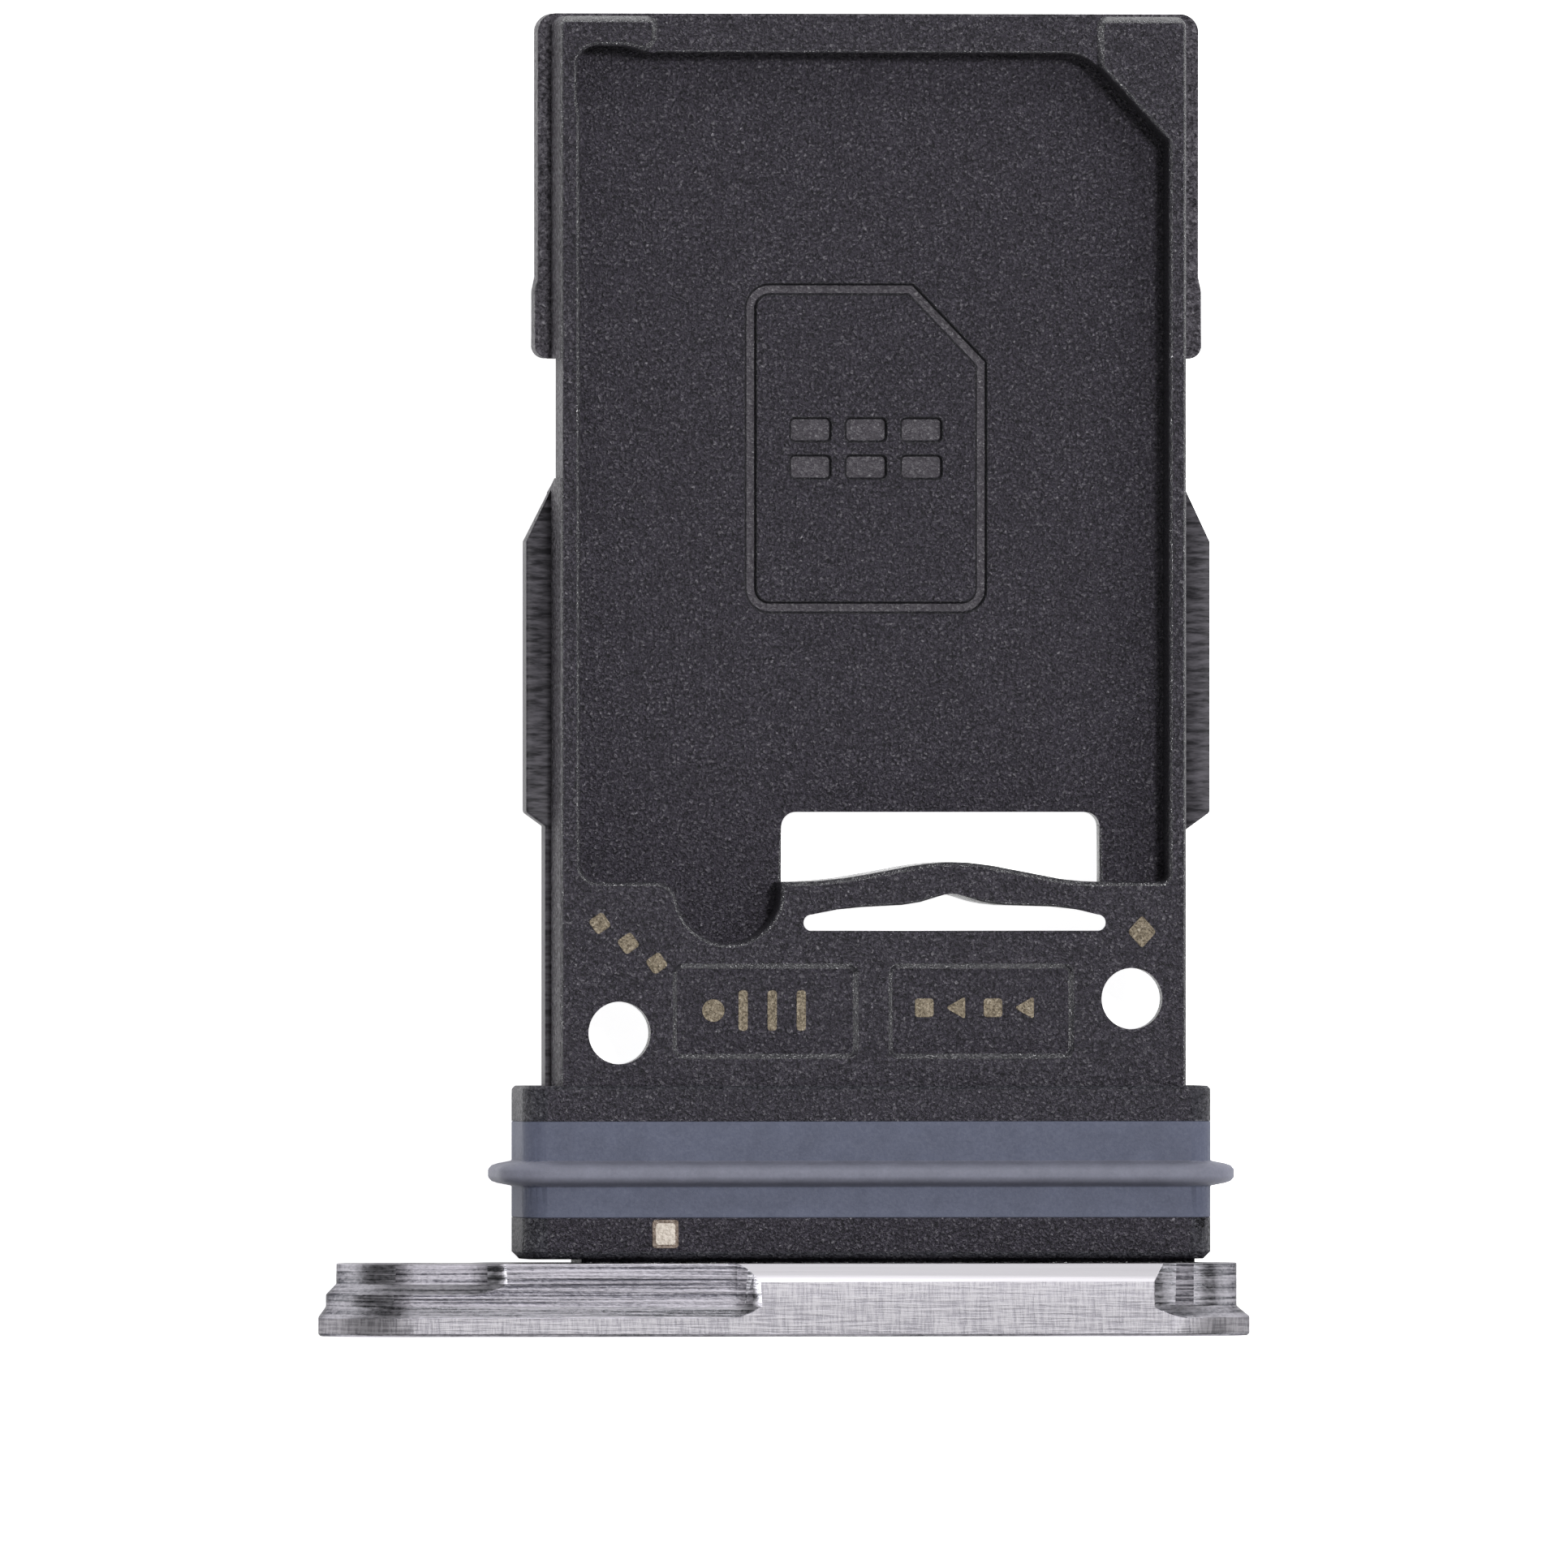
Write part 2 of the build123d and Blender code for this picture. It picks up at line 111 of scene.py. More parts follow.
# The photograph's view leans to the eject hole's side of the tray. Its scale is in pixels for
# each millimetre, and the pixel where the origin lies follows.
VIEW_LEAN = math.radians(7.09)
VIEW_SCALE = 82.03
PHOTO_SIDE = 1932
PHOTO_X0 = 966.5
PHOTO_Y0 = 1646.0
LENS = 1200.0
SENSOR = 36.0

# The tray lies on the seal's lip and on its tip, each given by its distance from the plate's
# outer face and its height below the axis
REST_LIP = (2.505, 1.335)
REST_TIP = (19.716, 0.880)
REST_LEAN = math.atan2(REST_LIP[1] - REST_TIP[1], REST_TIP[0] - REST_LIP[0])

# The studio, in metres. Each light has a name, a place, a width and height, and a power.
FLOOR_HALF = 0.6
LIGHT_AIM = (0.0, 0.01, 0.0)
LIGHTS = [
    ("key_light", (0.107, 0.127, 0.55), (0.08, 0.08), 2.7),
    ("top_light", (0.08, 0.50, 0.38), (0.30, 0.10), 0.7),
    ("right_light", (0.44, 0.14, 0.42), (0.10, 0.30), 0.8),
    ("fill_light", (-0.40, -0.20, 0.45), (0.5, 0.5), 0.4),
    ("low_light", (0.05, -0.50, 0.22), (0.6, 0.2), 0.5),
]


# Node helpers

def link(tree, source, target):
    tree.links.new(source, target)


def set_inputs(node, **values):
    """Set a node's own sockets, with underscores for the spaces in their names."""
    for key, value in values.items():
        node.inputs[key.replace("_", " ")].default_value = value


def add_node(tree, kind, **values):
    node = tree.nodes.new(kind)
    set_inputs(node, **values)
    return node


def new_material(name):
    material = bpy.data.materials.new(name)
    material.use_nodes = True
    tree = material.node_tree
    tree.nodes.clear()
    output = add_node(tree, "ShaderNodeOutputMaterial")
    shader = add_node(tree, "ShaderNodeBsdfPrincipled")
    link(tree, shader.outputs["BSDF"], output.inputs["Surface"])
    return material, tree, shader


def maths(tree, operation, first, second):
    node = add_node(tree, "ShaderNodeMath")
    node.operation = operation
    for socket, value in zip(node.inputs, (first, second)):
        if isinstance(value, float):
            socket.default_value = value
        else:
            link(tree, value, socket)
    return node.outputs[0]


def blend(tree, factor, first, second, blend_type="MIX"):
    node = add_node(tree, "ShaderNodeMix")
    node.data_type = "RGBA"
    node.blend_type = blend_type
    if factor is None:
        node.inputs["Factor"].default_value = 1.0
    else:
        link(tree, factor, node.inputs["Factor"])
    link(tree, first, node.inputs[MIX_FIRST])
    link(tree, second, node.inputs[MIX_SECOND])
    return node.outputs[MIX_RESULT]


def ramp(tree, source, start, end):
    """A grey ramp between two stops, each a position and a value."""
    node = add_node(tree, "ShaderNodeValToRGB")
    for element, (position, value) in zip(node.color_ramp.elements, (start, end)):
        element.position = position
        element.color = (value, value, value, 1.0)
    link(tree, source, node.inputs["Fac"])
    return node.outputs["Color"]


def effect_tree(name, inputs):
    """A node group with the given inputs that puts out a colour, a roughness and a normal."""
    tree = bpy.data.node_groups.new(name, "ShaderNodeTree")
    for label, kind, default in inputs:
        socket = tree.interface.new_socket(name=label, in_out="INPUT", socket_type=kind)
        if default is not None:
            socket.default_value = default
    for label, kind in (("Color", "NodeSocketColor"), ("Roughness", "NodeSocketFloat"),
                        ("Normal", "NodeSocketVector")):
        tree.interface.new_socket(name=label, in_out="OUTPUT", socket_type=kind)
    return tree, add_node(tree, "NodeGroupInput"), add_node(tree, "NodeGroupOutput")


def put_out_roughness(tree, given, result, mask, low, high):
    """Roughness runs from one input of the group to another as the mask goes from 0 to 1."""
    rough = add_node(tree, "ShaderNodeMapRange")
    link(tree, mask, rough.inputs["Value"])
    link(tree, given.outputs[low], rough.inputs["To Min"])
    link(tree, given.outputs[high], rough.inputs["To Max"])
    link(tree, rough.outputs["Result"], result.inputs["Roughness"])


def put_out_normal(tree, given, result, height, relief):
    """The surface is bumped by a height, as deep as the group's Depth says."""
    bump = add_node(tree, "ShaderNodeBump", Strength=1.0)
    depth = maths(tree, "MULTIPLY", given.outputs["Depth"], relief)
    link(tree, depth, bump.inputs["Distance"])
    link(tree, height, bump.inputs["Height"])
    link(tree, bump.outputs["Normal"], result.inputs["Normal"])


# Shared effects

def eroded_grain_group():
    """Spark-eroded grain: ripples whose pits are painted darker as painted shade, and a few peaks
    painted lighter as painted glints where they catch the light.
    """
    tree, given, result = effect_tree("eroded_grain", [
        ("Grain Size", "NodeSocketFloat", 0.06),
        ("Depth", "NodeSocketFloat", 1.0),
        ("Speckle", "NodeSocketFloat", 0.5),
        ("Pit", "NodeSocketColor", (0.02, 0.02, 0.02, 1.0)),
        ("Base", "NodeSocketColor", (0.04, 0.04, 0.05, 1.0)),
        ("Peak", "NodeSocketColor", (0.1, 0.1, 0.11, 1.0)),
        ("Rough Pit", "NodeSocketFloat", 0.6),
        ("Rough Peak", "NodeSocketFloat", 0.3),
    ])
    place = add_node(tree, "ShaderNodeTexCoord").outputs["Object"]
    frequency = maths(tree, "DIVIDE", 1.0 / MM, given.outputs["Grain Size"])
    fine = add_node(tree, "ShaderNodeTexNoise", Detail=2.5, Roughness=0.6, Distortion=0.7)
    link(tree, place, fine.inputs["Vector"])
    link(tree, frequency, fine.inputs["Scale"])
    coarse = add_node(tree, "ShaderNodeTexNoise", Detail=3.0, Roughness=0.55)
    link(tree, place, coarse.inputs["Vector"])
    link(tree, maths(tree, "MULTIPLY", frequency, PATCH_SCALE), coarse.inputs["Scale"])

    # Pit and Peak colours paint shade in the pits and glints on the peaks, over the grain's own
    # relief.
    body = ramp(tree, fine.outputs["Fac"], (0.34, 0.0), (0.54, 1.0))
    peaks = ramp(tree, fine.outputs["Fac"], (0.56, 0.0), (0.68, 1.0))
    patches = ramp(tree, coarse.outputs["Fac"], (0.3, 0.92), (0.7, 1.08))
    tone = blend(tree, body, given.outputs["Pit"], given.outputs["Base"])
    bright = maths(tree, "MULTIPLY", peaks, given.outputs["Speckle"])
    tone = blend(tree, bright, tone, given.outputs["Peak"])
    link(tree, blend(tree, None, tone, patches, "MULTIPLY"), result.inputs["Color"])
    put_out_roughness(tree, given, result, body, "Rough Pit", "Rough Peak")
    put_out_normal(tree, given, result, fine.outputs["Fac"], GRAIN_RELIEF)
    return tree


def cutter_marks_group():
    """Fine parallel marks of a cutter along one direction, and a second set across them."""
    tree, given, result = effect_tree("cutter_marks", [
        ("Turn", "NodeSocketVector", None),
        ("Stretch", "NodeSocketVector", (1.0, 1.0, 1.0)),
        ("Cross Stretch", "NodeSocketVector", (1.0, 1.0, 1.0)),
        ("Cross Amount", "NodeSocketFloat", 0.0),
        ("Depth", "NodeSocketFloat", 1.0),
        ("Base", "NodeSocketColor", (0.4, 0.4, 0.4, 1.0)),
        ("Streak", "NodeSocketColor", (0.6, 0.6, 0.6, 1.0)),
        ("Rough Low", "NodeSocketFloat", 0.3),
        ("Rough High", "NodeSocketFloat", 0.5),
    ])
    place = add_node(tree, "ShaderNodeTexCoord").outputs["Object"]
    marks = []
    for stretch in ("Stretch", "Cross Stretch"):
        turned = add_node(tree, "ShaderNodeMapping")
        link(tree, place, turned.inputs["Vector"])
        link(tree, given.outputs["Turn"], turned.inputs["Rotation"])
        link(tree, given.outputs[stretch], turned.inputs["Scale"])
        noise = add_node(tree, "ShaderNodeTexNoise", Scale=1.0 / MM, Detail=3.0, Roughness=0.6)
        link(tree, turned.outputs["Vector"], noise.inputs["Vector"])
        marks.append(noise.outputs["Fac"])
    along, across = marks

    centred = maths(tree, "SUBTRACT", across, 0.5)
    crossed = maths(tree, "MULTIPLY", centred, given.outputs["Cross Amount"])
    height = maths(tree, "ADD", along, crossed)
    streaks = ramp(tree, height, (0.38, 0.0), (0.64, 1.0))
    tone = blend(tree, streaks, given.outputs["Base"], given.outputs["Streak"])
    link(tree, tone, result.inputs["Color"])
    put_out_roughness(tree, given, result, streaks, "Rough Low", "Rough High")
    put_out_normal(tree, given, result, height, CUT_RELIEF)
    return tree


ERODED_GRAIN = eroded_grain_group()
CUTTER_MARKS = cutter_marks_group()


# Finishes

def effect_material(name, effect, metallic, specular, grazing, **values):
    """A material whose colour, roughness and relief come from an effect set to its own values."""
    material, tree, shader = new_material(name)
    placed = tree.nodes.new("ShaderNodeGroup")
    placed.node_tree = effect
    set_inputs(placed, **values)
    for output, target in (("Color", "Base Color"), ("Roughness", "Roughness"),
                           ("Normal", "Normal")):
        link(tree, placed.outputs[output], shader.inputs[target])
    set_inputs(shader, Metallic=metallic, Specular_IOR_Level=specular,
               Specular_Tint=(grazing, grazing, grazing, 1.0))
    return material


def grained(name, pit, base, peak, grain_size, depth, speckle, rough_pit=0.6, rough_peak=0.32,
            specular=0.5, metallic=0.0):
    return effect_material(name, ERODED_GRAIN, metallic, specular, 1.0, Grain_Size=grain_size,
                           Depth=depth, Speckle=speckle, Pit=(*pit, 1.0), Base=(*base, 1.0),
                           Peak=(*peak, 1.0), Rough_Pit=rough_pit, Rough_Peak=rough_peak)


def cut_surface(name, base, streak, stretch, depth, rough_low, rough_high, turn=0.0,
                cross=(1.0, 1.0, 1.0), cross_amount=0.0, specular=0.5, grazing=1.0,
                metallic=1.0):
    return effect_material(name, CUTTER_MARKS, metallic, specular, grazing,
                           Turn=(0.0, 0.0, math.radians(turn)), Stretch=stretch,
                           Cross_Stretch=cross, Cross_Amount=cross_amount, Depth=depth,
                           Base=(*base, 1.0), Streak=(*streak, 1.0), Rough_Low=rough_low,
                           Rough_High=rough_high)


moulding_grain = grained(
    "moulding_grain", pit=(0.010, 0.009, 0.013), base=(0.080, 0.072, 0.095),
    peak=(0.29, 0.28, 0.30), grain_size=0.043, depth=4.0, speckle=0.62, rough_pit=0.50,
    rough_peak=0.28, specular=0.8)
# Painted shade: the polished walls and eased edges are painted darker than the grain on the flats;
# their gloss is their own.
moulding_wall_painted_shade = grained(
    "moulding_wall_painted_shade", pit=(0.014, 0.014, 0.018), base=(0.034, 0.032, 0.039),
    peak=(0.10, 0.10, 0.11), grain_size=0.05, depth=0.8, speckle=0.6, rough_pit=0.34,
    rough_peak=0.21, specular=1.0)
moulding_side = grained(
    "moulding_side", pit=(0.018, 0.017, 0.020), base=(0.082, 0.076, 0.090),
    peak=(0.26, 0.25, 0.27), grain_size=0.055, depth=1.6, speckle=0.6, rough_pit=0.60,
    rough_peak=0.45, specular=0.2)
moulding_engraved = grained(
    "moulding_engraved", pit=(0.036, 0.032, 0.039), base=(0.047, 0.042, 0.052),
    peak=(0.08, 0.075, 0.08), grain_size=0.06, depth=0.4, speckle=0.4, specular=0.2)
# Painted shade: the engraved outline's sloping sides are painted near black, darker than the
# moulding they are cut in.
engraved_side_painted_shade = grained(
    "engraved_side_painted_shade", pit=(0.008, 0.008, 0.010), base=(0.017, 0.016, 0.020),
    peak=(0.06, 0.06, 0.065), grain_size=0.04, depth=0.8, speckle=0.5, rough_pit=0.45,
    rough_peak=0.30, specular=0.4)
moulding_rail = cut_surface(
    "moulding_rail", base=(0.022, 0.021, 0.024), streak=(0.092, 0.087, 0.099),
    stretch=(2.5, 13.0, 4.0), depth=0.8, rough_low=0.4, rough_high=0.5, turn=40.0,
    specular=0.1, metallic=0.0)
# Painted shade: the neck's rounded ends are painted darker than the moulding on its flat.
neck_end_painted_shade = grained(
    "neck_end_painted_shade", pit=(0.010, 0.010, 0.013), base=(0.044, 0.043, 0.053),
    peak=(0.16, 0.16, 0.17), grain_size=0.05, depth=1.2, speckle=0.5, rough_pit=0.6,
    rough_peak=0.45, specular=0.15)
plate_milled = cut_surface(
    "plate_milled", base=(0.036, 0.035, 0.042), streak=(0.255, 0.245, 0.270),
    stretch=(0.2, 23.0, 0.2), depth=1.3, rough_low=0.38, rough_high=0.52,
    cross=(14.0, 30.0, 14.0), cross_amount=0.35, grazing=0.3)
plate_wall = cut_surface(
    "plate_wall", base=(0.10, 0.10, 0.11), streak=(0.36, 0.35, 0.38),
    stretch=(0.4, 23.0, 0.4), depth=0.9, rough_low=0.25, rough_high=0.45,
    cross=(12.0, 26.0, 12.0), cross_amount=0.4, grazing=0.3)
plate_hatched = cut_surface(
    "plate_hatched", base=(0.175, 0.169, 0.185), streak=(0.335, 0.325, 0.344),
    stretch=(1.5, 26.0, 1.5), depth=0.6, rough_low=0.50, rough_high=0.58,
    cross=(26.0, 3.0, 26.0), cross_amount=0.9, grazing=0.3)
plate_bevel = cut_surface(
    "plate_bevel", base=(0.34, 0.33, 0.35), streak=(0.43, 0.42, 0.44),
    stretch=(0.1, 10.0, 0.1), depth=0.3, rough_low=0.5, rough_high=0.6)
plate_blasted = grained(
    "plate_blasted", pit=(0.36, 0.35, 0.39), base=(0.46, 0.44, 0.49), peak=(0.60, 0.58, 0.62),
    grain_size=0.035, depth=0.5, speckle=0.6, rough_pit=0.5, rough_peak=0.4, metallic=1.0)
seal_silicone = grained(
    "seal_silicone", pit=(0.078, 0.086, 0.124), base=(0.087, 0.095, 0.136),
    peak=(0.11, 0.12, 0.16), grain_size=0.05, depth=0.08, speckle=0.4, rough_pit=0.62,
    rough_peak=0.55, specular=0.12)
# Painted light: the lip is painted lighter than the band, where it catches more of the lamps.
seal_lip_painted_light = grained(
    "seal_lip_painted_light", pit=(0.148, 0.153, 0.192), base=(0.158, 0.162, 0.203), peak=(0.18, 0.18, 0.23),
    grain_size=0.05, depth=0.04, speckle=0.4, rough_pit=0.62, rough_peak=0.55, specular=0.12)
laser_bronze = grained(
    "laser_bronze", pit=(0.11, 0.088, 0.062), base=(0.28, 0.235, 0.172),
    peak=(0.48, 0.42, 0.34), grain_size=0.040, depth=1.2, speckle=0.7, specular=0.2)
laser_pale = grained(
    "laser_pale", pit=(0.36, 0.31, 0.26), base=(0.52, 0.46, 0.40), peak=(0.62, 0.57, 0.50),
    grain_size=0.05, depth=0.4, speckle=0.4)
laser_brown = grained(
    "laser_brown", pit=(0.08, 0.055, 0.04), base=(0.17, 0.125, 0.095), peak=(0.26, 0.20, 0.16),
    grain_size=0.05, depth=0.4, speckle=0.4)


# Mesh helpers

def add_object(name, data):
    thing = bpy.data.objects.new(name, data)
    bpy.context.scene.collection.objects.link(thing)
    return thing


def mesh_object(bm, name, finishes):
    """An object at the origin from a bmesh in metres, with its finishes in their slots' order."""
    mesh = bpy.data.meshes.new(name)
    bm.to_mesh(mesh)
    bm.free()
    for finish in finishes:
        mesh.materials.append(finish)
    return add_object(name, mesh)


def resize(bm, factor):
    bmesh.ops.scale(bm, vec=(factor,) * 3, verts=bm.verts)


def mean_width(face):
    return 2.0 * face.calc_area() / face.calc_perimeter()


def sharp_edges(bm, hollows=True):
    return [edge for edge in bm.edges if edge.is_manifold and (hollows or edge.is_convex)
            and edge.calc_face_angle() > EASED_ANGLE]


def has_room(edge, radius):
    """True where both faces are wide and no sliver touches an end, so that easing folds none."""
    beside = (mean_width(face) > ROOM_BESIDE * radius for face in edge.link_faces)
    at_ends = (mean_width(face) > ROOM_AT_ENDS * radius
               for vert in edge.verts for face in vert.link_faces)
    return all(beside) and all(at_ends)


def ease(bm, edges, radius):
    bmesh.ops.bevel(bm, geom=edges, offset=radius, offset_type="OFFSET", segments=2, profile=0.5,
                    affect="EDGES", clamp_overlap=False, material=-1)
    bm.normal_update()


# Pieces

def engraved_edge(edge):
    """True for the upper edges of the engraved outline, whose walls end at the pocket's floor."""
    heights = [vert.co.z for face in edge.link_faces for vert in face.verts]
    return (min(heights) > ENGRAVED_FLOOR - AT_HEIGHT and max(heights) < POCKET_FLOOR + AT_HEIGHT
            and min(vert.co.z for vert in edge.verts) > POCKET_FLOOR - AT_HEIGHT)


def shape_outline(bm):
    """Ease the upper edges of the engraved outline, and slope a thin rim round its floor."""
    ease(bm, [edge for edge in sharp_edges(bm, hollows=False) if engraved_edge(edge)],
         OUTLINE_EASE)
    floor = [face for face in bm.faces if face.normal.z > FACING
             and all(abs(vert.co.z - ENGRAVED_FLOOR) < AT_HEIGHT for vert in face.verts)]
    bmesh.ops.inset_region(bm, faces=floor, thickness=OUTLINE_RIM, depth=-OUTLINE_SINK,
                           use_even_offset=True, use_boundary=True)
    bm.normal_update()


def dressed_copy(node, name, finishes, finish_of, radius, hollows=True, detail=None):
    """A merged copy of a CAD node with eased edges, each face in the finish of its place."""
    bm = bmesh.new()
    bm.from_mesh(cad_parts[node].data)
    resize(bm, 1 / MM)
    bmesh.ops.remove_doubles(bm, verts=bm.verts, dist=MERGE_DISTANCE)
    bmesh.ops.dissolve_limit(bm, angle_limit=FLAT_ANGLE, use_dissolve_boundaries=False,
                             verts=bm.verts, edges=bm.edges, delimit=set())
    ease(bm, [edge for edge in sharp_edges(bm, hollows) if has_room(edge, radius)], radius)
    if detail:
        detail(bm)
    for face in bm.faces:
        face.material_index = finishes.index(finish_of(face))
        face.smooth = True
    resize(bm, MM)
    piece = mesh_object(bm, name, finishes)
    piece.data.set_sharp_from_angle(angle=SHARP_ANGLE)
    weighted = piece.modifiers.new("even_shading", "WEIGHTED_NORMAL")
    weighted.keep_sharp = True
    weighted.weight = 80
    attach(piece, "root")
    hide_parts(node)
    return piece


def tray_finish(face):
    """Grain on the flats, polish painted darker as painted shade on walls and rounded edges,
    cutter marks on the lower rails.
    """
    middle = face.calc_center_median()
    normal = face.normal
    from_centre = abs(middle.x - TRAY_X)
    if middle.y < NECK_TOP + NEAR:
        # The neck's ends take the darker finish, as painted shade.
        at_end = abs(middle.x - NECK_X) > NECK_FLAT_HALF or abs(normal.y) > LEANING
        return neck_end_painted_shade if at_end else moulding_grain
    on_rail_flat = abs(abs(middle.z) - RAIL_TOP) < ON_FLAT and abs(normal.z) > FACING
    on_rail_side = from_centre > BODY_HALF_WIDTH + NEAR and abs(middle.z) < RAIL_TOP + NEAR
    if on_rail_flat or on_rail_side:
        return moulding_rail if middle.y < UPPER_RAILS_FROM else moulding_side
    if abs(middle.z - ENGRAVED_FLOOR) < OUTLINE_SINK + 2.0 * AT_HEIGHT and normal.z > LEVEL:
        return moulding_engraved
    # The engraved outline's sunk sides take the near-black finish, as painted shade.
    sunk = ENGRAVED_FLOOR - OUTLINE_SINK < middle.z < POCKET_FLOOR - 0.5 * AT_HEIGHT
    if sunk and middle.y > OUTLINE_START and normal.z > -UPRIGHT:
        return engraved_side_painted_shade
    if from_centre > BODY_HALF_WIDTH - SIDE_WALL and abs(normal.z) < STEEP:
        return moulding_side
    return moulding_grain if abs(normal.z) > LEVEL else moulding_wall_painted_shade


def plate_finish(face):
    """Blasted on the outer face, hatched where the bar's own surface is left, milled on cuts."""
    middle = face.calc_center_median()
    normal = face.normal
    if normal.y < -FACING and middle.y < NEAR:
        return plate_blasted
    from_axis = math.hypot(max(0.0, abs(middle.x) - PLATE_END_CENTRE), middle.z)
    if from_axis > PLATE_RADIUS - 2.0 * NEAR and abs(normal.y) < UPRIGHT:
        return plate_hatched
    if SLIGHT < normal.y < STEEP and middle.y > PLATE_BEVEL_FROM:
        return plate_bevel
    return plate_milled if abs(normal.z) > NEARLY_LEVEL else plate_wall


def seal_finish(face):
    """The lip, thinner than the band, is painted lighter: painted light where it catches more of
    the lamps.
    """
    middle = face.calc_center_median()
    above_band = abs(middle.z) > NECK_SURFACE + NEAR
    beside_band = abs(middle.x - NECK_X) > SEAL_FLAT_HALF
    return seal_lip_painted_light if above_band or beside_band else seal_silicone


tray = dressed_copy("tray_body", "moulded_tray",
                    [moulding_grain, moulding_wall_painted_shade, moulding_engraved, moulding_rail, neck_end_painted_shade,
                     moulding_side, engraved_side_painted_shade],
                    tray_finish, TRAY_EASE, hollows=False, detail=shape_outline)
plate = dressed_copy("face_plate", "milled_plate",
                     [plate_milled, plate_hatched, plate_bevel, plate_blasted, plate_wall],
                     plate_finish, PLATE_EASE)
seal = dressed_copy("seal_ring", "silicone_seal", [seal_silicone, seal_lip_painted_light], seal_finish,
                    SEAL_EASE)


# Flat marks

def flat_mark(name, finish, centre, size, corners, turn, level):
    """A thin polygon with rounded corners, seated on a flat of the tray."""
    bm = bmesh.new()
    bmesh.ops.create_circle(bm, cap_ends=True, segments=corners, radius=0.5)
    bmesh.ops.rotate(bm, cent=(0, 0, 0), matrix=Matrix.Rotation(math.radians(turn), 3, "Z"),
                     verts=bm.verts)
    bmesh.ops.scale(bm, vec=(*size, 1.0), verts=bm.verts)
    if corners < ROUND_CORNERS:
        bmesh.ops.bevel(bm, geom=bm.verts[:], offset=MARK_CORNER, segments=3, profile=0.5,
                        affect="VERTICES", material=-1)
    raised = bmesh.ops.extrude_face_region(bm, geom=bm.faces[:])
    top = [item for item in raised["geom"] if isinstance(item, bmesh.types.BMVert)]
    bmesh.ops.translate(bm, vec=(0, 0, MARK_HEIGHT), verts=top)
    bmesh.ops.recalc_face_normals(bm, faces=bm.faces)
    rim = [edge for edge in bm.edges if all(vert in top for vert in edge.verts)]
    bmesh.ops.bevel(bm, geom=rim, offset=0.5 * MARK_HEIGHT, segments=2, profile=0.5,
                    affect="EDGES", material=-1)
    bmesh.ops.translate(bm, vec=(*centre, level), verts=bm.verts)
    resize(bm, MM)
    piece = mesh_object(bm, name, [finish])
    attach(piece, "root")


def mark_row(name, count, first, step, size, shapes, level):
    """A row of flat marks whose shapes take turns, each given by its corners and its turn."""
    for i in range(count):
        corners, turn = shapes[i % len(shapes)]
        centre = (first[0] + step[0] * i, first[1] + step[1] * i)
        flat_mark(f"{name}_{i + 1}", laser_bronze, centre, size, corners, turn, level)


def laser_marks():
    """A diagonal row at a corner, a dot and two rows in the recesses, and three squares."""
    mark_row("corner_mark", 3, first=(-2.90, 6.20), step=(0.43, -0.30), size=(0.36, 0.36),
             shapes=[(4, -10.0)], level=TRAY_TOP)
    flat_mark("recess_dot", laser_bronze, centre=(-1.17, 4.89), size=(0.34, 0.34), corners=24,
              turn=0.0, level=RECESS_FLOOR)
    mark_row("left_recess_mark", 3, first=(-0.72, 4.89), step=(0.44, 0.0), size=(0.20, 0.86),
             shapes=[(4, 45.0)], level=RECESS_FLOOR)
    mark_row("right_recess_mark", 4, first=(2.02, 4.93), step=(0.52, 0.0), size=(0.40, 0.40),
             shapes=[(4, 45.0), (3, 90.0)], level=RECESS_FLOOR)
    flat_mark("side_mark", laser_bronze, centre=(5.30, 6.07), size=(0.44, 0.50), corners=4,
              turn=0.0, level=TRAY_TOP)
    flat_mark("neck_square_border", laser_brown, centre=(-1.92, 1.54), size=(0.56, 0.60),
              corners=4, turn=45.0, level=NECK_SURFACE)
    flat_mark("neck_square", laser_pale, centre=(-1.92, 1.54), size=(0.42, 0.46), corners=4,
              turn=45.0, level=NECK_SURFACE + 0.5 * MARK_HEIGHT)


laser_marks()


# Studio

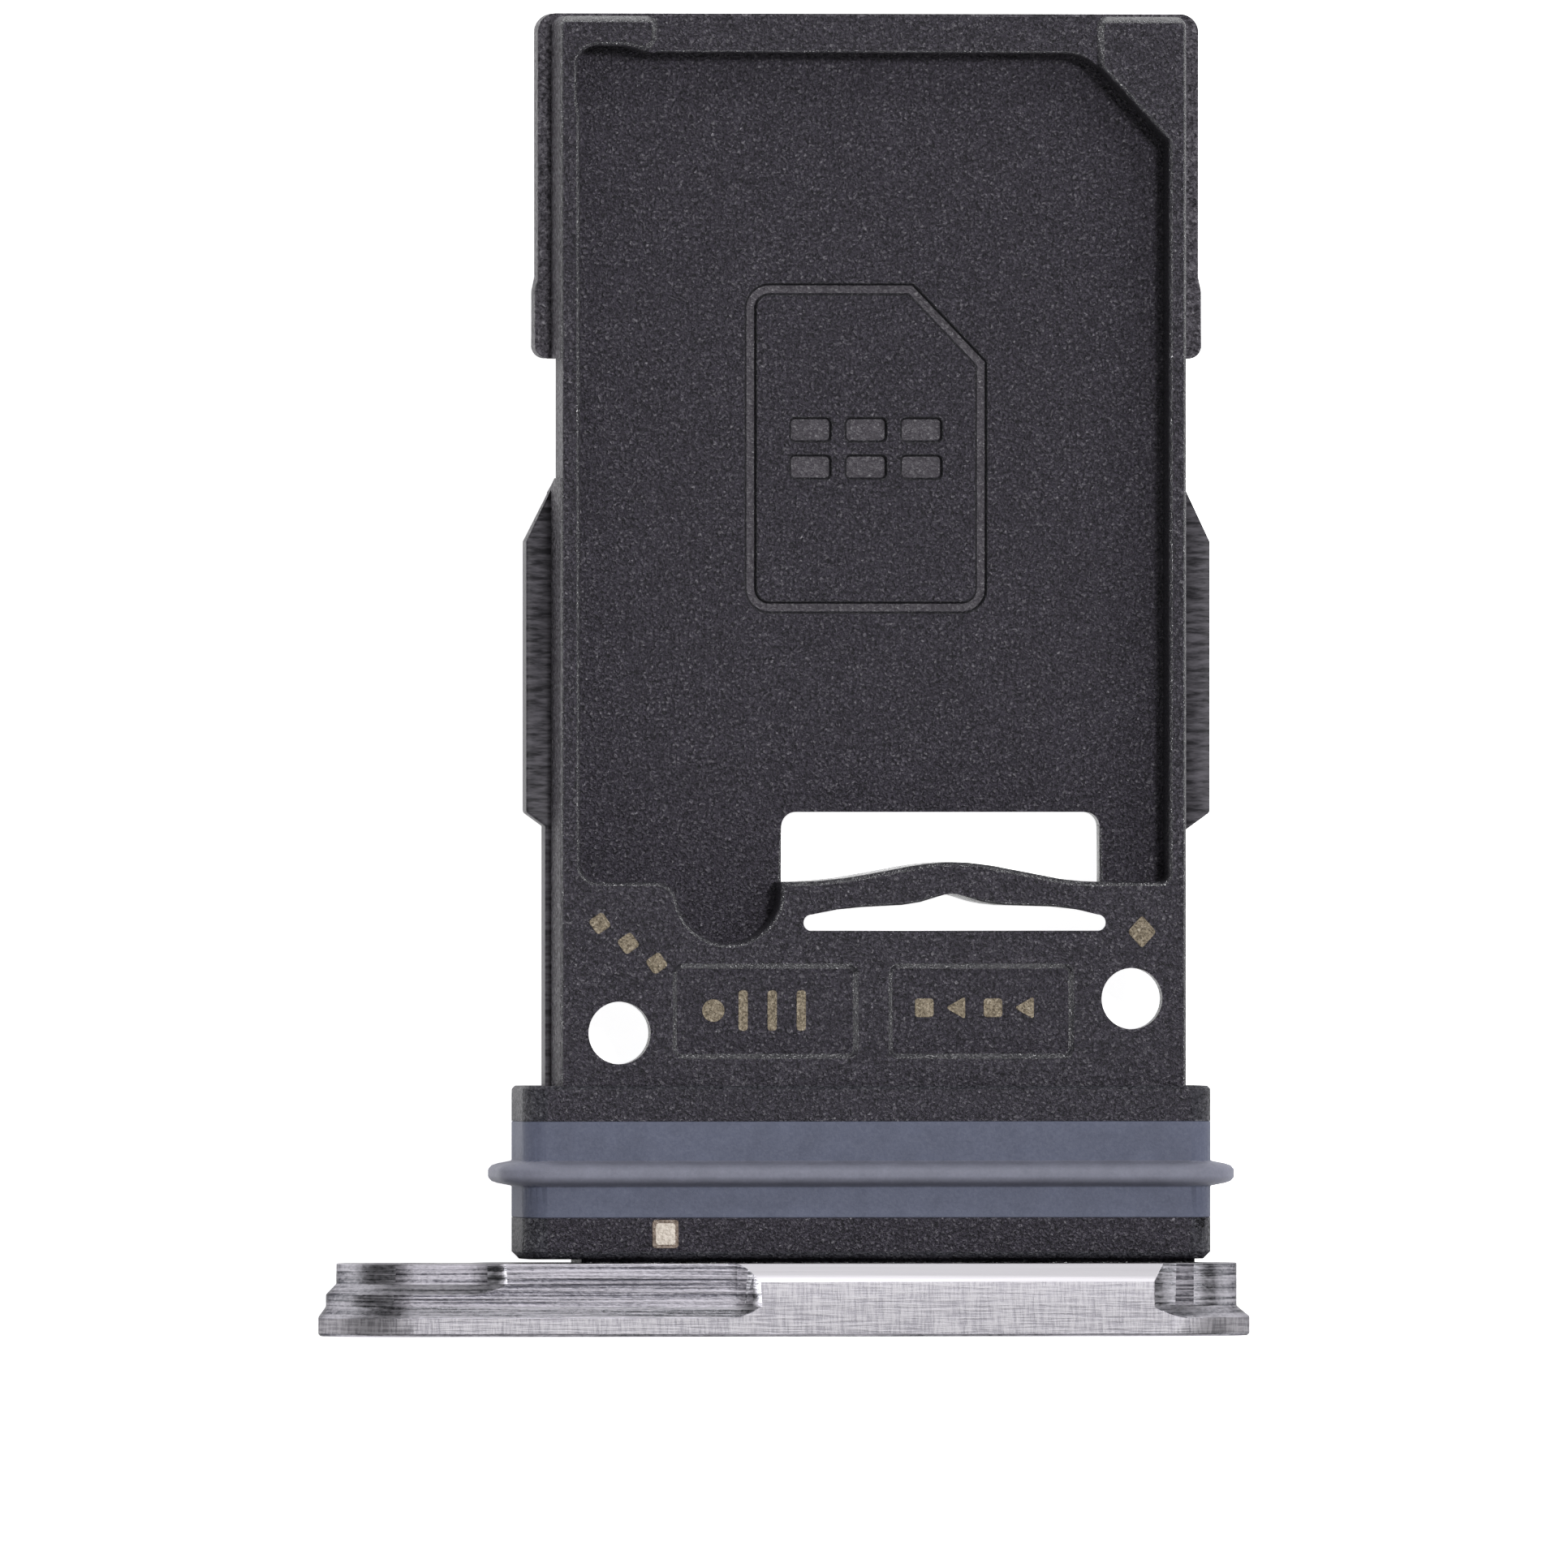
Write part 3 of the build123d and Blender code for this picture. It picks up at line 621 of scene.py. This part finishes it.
def pale_floor():
    """A pale sheet that leans so that the tray lies on it."""
    bm = bmesh.new()
    bmesh.ops.create_grid(bm, x_segments=1, y_segments=1, size=FLOOR_HALF)
    turn = Matrix.Rotation(REST_LEAN, 4, "X")
    foot = Matrix.Translation((0.0, REST_LIP[0] * MM, -REST_LIP[1] * MM))
    bmesh.ops.transform(bm, matrix=foot @ turn, verts=bm.verts)
    material, _, shader = new_material("floor_paper")
    set_inputs(shader, Base_Color=(0.93, 0.93, 0.93, 1.0), Roughness=0.9,
               Emission_Color=(1.0, 1.0, 1.0, 1.0), Emission_Strength=0.93)
    floor = mesh_object(bm, "pale_floor", [material])


def soft_lights():
    for name, place, size, power in LIGHTS:
        light = bpy.data.lights.new(name, "AREA")
        light.shape = "RECTANGLE"
        light.size, light.size_y = size
        light.energy = power
        lamp = add_object(name, light)
        lamp.location = place
        aim = Vector(LIGHT_AIM) - Vector(place)
        lamp.rotation_euler = aim.to_track_quat("-Z", "Y").to_euler()


def studio_world():
    world = bpy.data.worlds.new("studio_white")
    world.use_nodes = True
    set_inputs(world.node_tree.nodes["Background"], Color=(1.0, 1.0, 1.0, 1.0), Strength=0.12)
    bpy.context.scene.world = world
    bpy.context.scene.view_settings.view_transform = "Standard"


def photo_camera():
    """A long lens that leans as the photograph does and frames the whole of it."""
    span = PHOTO_SIDE / VIEW_SCALE * MM
    distance = span * LENS / SENSOR
    across = (PHOTO_SIDE / 2 - PHOTO_X0) / VIEW_SCALE * MM
    along = (PHOTO_Y0 - PHOTO_SIDE / 2) / VIEW_SCALE * MM
    right = Vector((math.cos(VIEW_LEAN), 0.0, math.sin(VIEW_LEAN)))
    back = Vector((-math.sin(VIEW_LEAN), 0.0, math.cos(VIEW_LEAN)))
    data = bpy.data.cameras.new("photo_camera")
    data.lens = LENS
    data.sensor_width = SENSOR
    data.clip_start = 0.01
    data.clip_end = 10.0
    camera = add_object("photo_camera", data)
    camera.location = right * across + Vector((0.0, along, 0.0)) + back * distance
    camera.rotation_euler = (0.0, -VIEW_LEAN, 0.0)
    bpy.context.scene.camera = camera


pale_floor()
soft_lights()
studio_world()
photo_camera()
